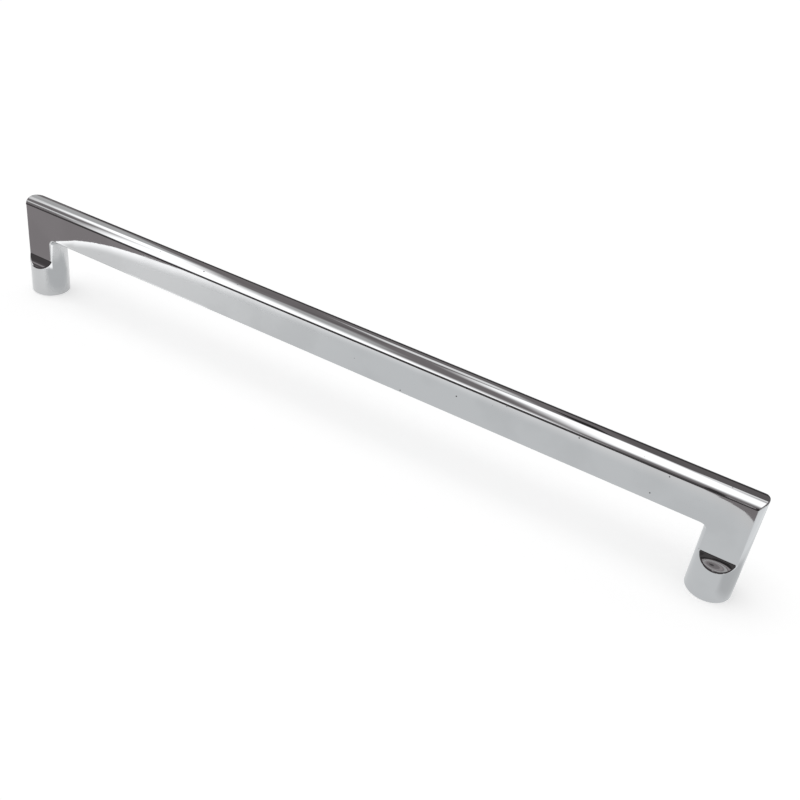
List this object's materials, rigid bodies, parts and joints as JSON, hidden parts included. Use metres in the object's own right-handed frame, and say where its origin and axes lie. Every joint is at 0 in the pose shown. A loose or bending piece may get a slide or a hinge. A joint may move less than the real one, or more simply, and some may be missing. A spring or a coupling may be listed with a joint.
{
  "type": "bar pull",
  "caption": "Straight cabinet and drawer pull: a flat, chrome-plated bar with a low domed cap on round legs, with hollow scoops where bar and leg meet.",
  "frame": {"origin": "on the door face, midway between the two screw holes", "axes": "+X along the bar, +Y from the front face to the back face, +Z away from the door"},
  "size_m": [0.2694, 0.0134, 0.035],
  "materials": {
    "chrome_plate": "mirror polished"
  },
  "bodies": {
    "root": {"bar_pull": "chrome_plate"}
  },
  "joints": []
}
